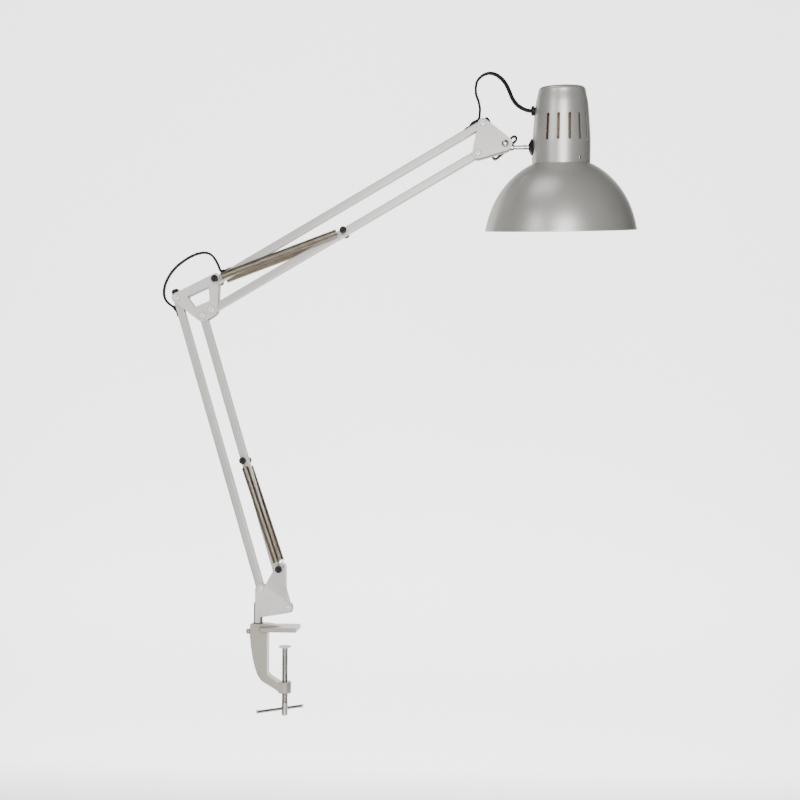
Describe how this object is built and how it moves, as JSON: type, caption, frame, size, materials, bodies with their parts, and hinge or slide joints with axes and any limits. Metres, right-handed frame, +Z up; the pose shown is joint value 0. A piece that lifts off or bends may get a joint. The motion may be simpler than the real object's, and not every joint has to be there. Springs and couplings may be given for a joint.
{
  "type": "swing arm desk lamp",
  "caption": "Balanced-arm desk lamp: two parallelogram arms of square tube with springs, a vented metal shade on a tilting knuckle, and a screw clamp for a table edge.",
  "frame": {"origin": "on the clamp screw's axis, at the underside of the fixed jaw, where it rests on a table top", "axes": "+Z up, +X from the clamp towards the shade, the arms swing in the XZ plane"},
  "size_m": [0.6264, 0.1935, 0.8399],
  "materials": {
    "satin_silver": "satin silver lacquer",
    "pearl_silver": "fine pearl silver lacquer",
    "cast_grey": "warm grey paint on a casting",
    "steel": "bright zinc plate",
    "spring_wire": "nickelled spring wire",
    "black_plastic": "moulded black plastic",
    "flex": "smooth black flat flex",
    "white_plastic": "moulded white plastic",
    "holder_plastic": "moulded cream plastic",
    "opal_glass": "opal white glass"
  },
  "bodies": {
    "clamp": {"clamp_body": "cast_grey"},
    "lock_screw": {"lock_screw": "steel"},
    "clamp_pad": {"clamp_pad": "white_plastic"},
    "clamp_screw": {"clamp_screw": "steel"},
    "tommy_bar": {"tommy_bar": "steel"},
    "base_bracket": {"spindle": "steel", "base_plate_front": "pearl_silver", "base_plate_rear": "pearl_silver", "base_rear_screw": "steel", "base_front_screw": "steel", "base_stud_front": "black_plastic", "base_stud_rear": "black_plastic"},
    "lower_rear_tube": {"lower_rear_tube": "satin_silver", "lower_rear_plug": "black_plastic", "lower_lead_grommet": "black_plastic", "lower_lead": "flex"},
    "lower_front_tube": {"lower_front_tube": "satin_silver", "lower_front_plug": "black_plastic", "lower_spring_pin": "black_plastic"},
    "lower_springs": {"lower_spring_front": "spring_wire", "lower_spring_rear": "spring_wire"},
    "lower_tip_hooks": {"lower_tip_hook_front": "spring_wire", "lower_tip_hook_rear": "spring_wire"},
    "elbow_bracket": {"elbow_plate_front": "pearl_silver", "elbow_plate_rear": "pearl_silver", "elbow_rear_rivet": "steel", "elbow_front_rivet": "steel", "elbow_low_rivet": "steel", "elbow_spring_pin": "black_plastic", "elbow_lead": "flex"},
    "upper_top_tube": {"upper_top_tube": "satin_silver", "upper_top_plug": "black_plastic", "elbow_lead_grommet": "black_plastic", "head_lead_grommet": "black_plastic", "upper_lead": "flex"},
    "upper_low_tube": {"upper_low_tube": "satin_silver", "upper_low_plug": "black_plastic", "upper_spring_pin": "black_plastic"},
    "upper_springs": {"upper_spring_front": "spring_wire", "upper_spring_rear": "spring_wire"},
    "upper_root_hooks": {"upper_root_hook_front": "spring_wire", "upper_root_hook_rear": "spring_wire"},
    "upper_tip_hooks": {"upper_tip_hook_front": "spring_wire", "upper_tip_hook_rear": "spring_wire"},
    "head_bracket": {"head_plate_front": "pearl_silver", "head_plate_rear": "pearl_silver", "head_top_rivet": "steel", "head_low_rivet": "steel", "head_bolt": "steel", "head_lead": "flex"},
    "wing_nut": {"wing_nut": "black_plastic"},
    "knuckle": {"knuckle": "steel", "stem": "steel"},
    "shade": {"shade_neck": "satin_silver", "shade_dome": "satin_silver", "cup_washer": "black_plastic", "cord_gland": "black_plastic", "lamp_holder": "holder_plastic", "holder_nipple": "steel", "bulb": "opal_glass"}
  },
  "joints": [
    {"name": "base_swivel", "type": "hinge", "parent": "clamp", "child": "base_bracket", "pos_m": [-0.0352, 0, 0.0088], "axis": [0, 0, 1], "continuous": true},
    {"name": "lock_screw_turn", "type": "hinge", "parent": "clamp", "child": "lock_screw", "pos_m": [-0.0448, 0, -0.002], "axis": [1, 0, 0], "continuous": true},
    {"name": "clamp_travel", "type": "slide", "parent": "clamp", "child": "clamp_pad", "axis": [0, 0, 1], "range_m": [-0.039, 0.016]},
    {"name": "clamp_screw_turn", "type": "hinge", "parent": "clamp_pad", "child": "clamp_screw", "pos_m": [0, 0, -0.06], "axis": [0, 0, 1], "range_deg": [-11292, 4668]},
    {"name": "tommy_bar_slide", "type": "slide", "parent": "clamp_screw", "child": "tommy_bar", "axis": [0.829, 0.5592, 0], "range_m": [-0.019, 0.032]},
    {"name": "lower_arm_tilt", "type": "hinge", "parent": "base_bracket", "child": "lower_rear_tube", "pos_m": [-0.032, 0, 0.0536], "axis": [0, 1, 0], "range_deg": [-22, 50]},
    {"name": "lower_front_link", "type": "hinge", "parent": "base_bracket", "child": "lower_front_tube", "pos_m": [0.00348, 0, 0.02931], "axis": [0, 1, 0], "range_deg": [-22.5, 50.5]},
    {"name": "lower_spring_swing", "type": "hinge", "parent": "base_bracket", "child": "lower_springs", "pos_m": [-0.0059, 0, 0.0804], "axis": [0, 1, 0], "range_deg": [-29.29, 65.94]},
    {"name": "lower_tip_hook_swing", "type": "hinge", "parent": "lower_front_tube", "child": "lower_tip_hooks", "pos_m": [-0.05371, 0, 0.22043], "axis": [0, 1, 0], "range_deg": [-7.29, 15.93]},
    {"name": "elbow_level", "type": "hinge", "parent": "lower_rear_tube", "child": "elbow_bracket", "pos_m": [-0.14639, 0, 0.43585], "axis": [0, 1, 0], "range_deg": [-50.5, 22.5], "deforming": ["elbow_lead"]},
    {"name": "upper_arm_tilt", "type": "hinge", "parent": "elbow_bracket", "child": "upper_top_tube", "pos_m": [-0.09269, 0, 0.45895], "axis": [0, 1, 0], "range_deg": [-14, 50]},
    {"name": "upper_low_link", "type": "hinge", "parent": "elbow_bracket", "child": "upper_low_tube", "pos_m": [-0.09915, 0, 0.41948], "axis": [0, 1, 0], "range_deg": [-14.5, 50.5]},
    {"name": "upper_spring_swing", "type": "hinge", "parent": "elbow_bracket", "child": "upper_springs", "pos_m": [-0.09395, 0, 0.44074], "axis": [0, 1, 0], "range_deg": [-14.87, 51.8]},
    {"name": "upper_root_hook_swing", "type": "hinge", "parent": "elbow_bracket", "child": "upper_root_hooks", "pos_m": [-0.09269, 0, 0.45895], "axis": [0, 1, 0], "range_deg": [-15.9, 55.48]},
    {"name": "upper_tip_hook_swing", "type": "hinge", "parent": "upper_low_tube", "child": "upper_tip_hooks", "pos_m": [0.0767, 0, 0.52089], "axis": [0, 1, 0], "range_deg": [-1.2, 3]},
    {"name": "head_level", "type": "hinge", "parent": "upper_top_tube", "child": "head_bracket", "pos_m": [0.25902, 0, 0.66177], "axis": [0, 1, 0], "range_deg": [-50.5, 14.5], "deforming": ["head_lead"]},
    {"name": "head_tilt", "type": "hinge", "parent": "head_bracket", "child": "knuckle", "pos_m": [0.28782, 0, 0.63367], "axis": [0, 1, 0], "range_deg": [-40, 30]},
    {"name": "wing_nut_turn", "type": "hinge", "parent": "head_bracket", "child": "wing_nut", "pos_m": [0.28782, 0.012, 0.63367], "axis": [0, 1, 0], "continuous": true},
    {"name": "shade_swivel", "type": "hinge", "parent": "knuckle", "child": "shade", "pos_m": [0.315, 0, 0.6296], "axis": [1, 0, 0], "range_deg": [-60, 60]}
  ],
  "couplings": [
    {"joint": "clamp_screw_turn", "follows": "clamp_travel", "rad_per_m": 5026.5},
    {"joint": "lower_front_link", "follows": "lower_arm_tilt", "ratio": 1},
    {"joint": "lower_spring_swing", "follows": "lower_arm_tilt", "ratio": 1.3087},
    {"joint": "lower_tip_hook_swing", "follows": "lower_arm_tilt", "ratio": 0.3087},
    {"joint": "elbow_level", "follows": "lower_arm_tilt", "ratio": -1},
    {"joint": "upper_low_link", "follows": "upper_arm_tilt", "ratio": 1},
    {"joint": "upper_spring_swing", "follows": "upper_arm_tilt", "ratio": 1.0261},
    {"joint": "upper_root_hook_swing", "follows": "upper_arm_tilt", "ratio": 1.0997},
    {"joint": "upper_tip_hook_swing", "follows": "upper_arm_tilt", "ratio": 0.05},
    {"joint": "head_level", "follows": "upper_arm_tilt", "ratio": -1}
  ]
}
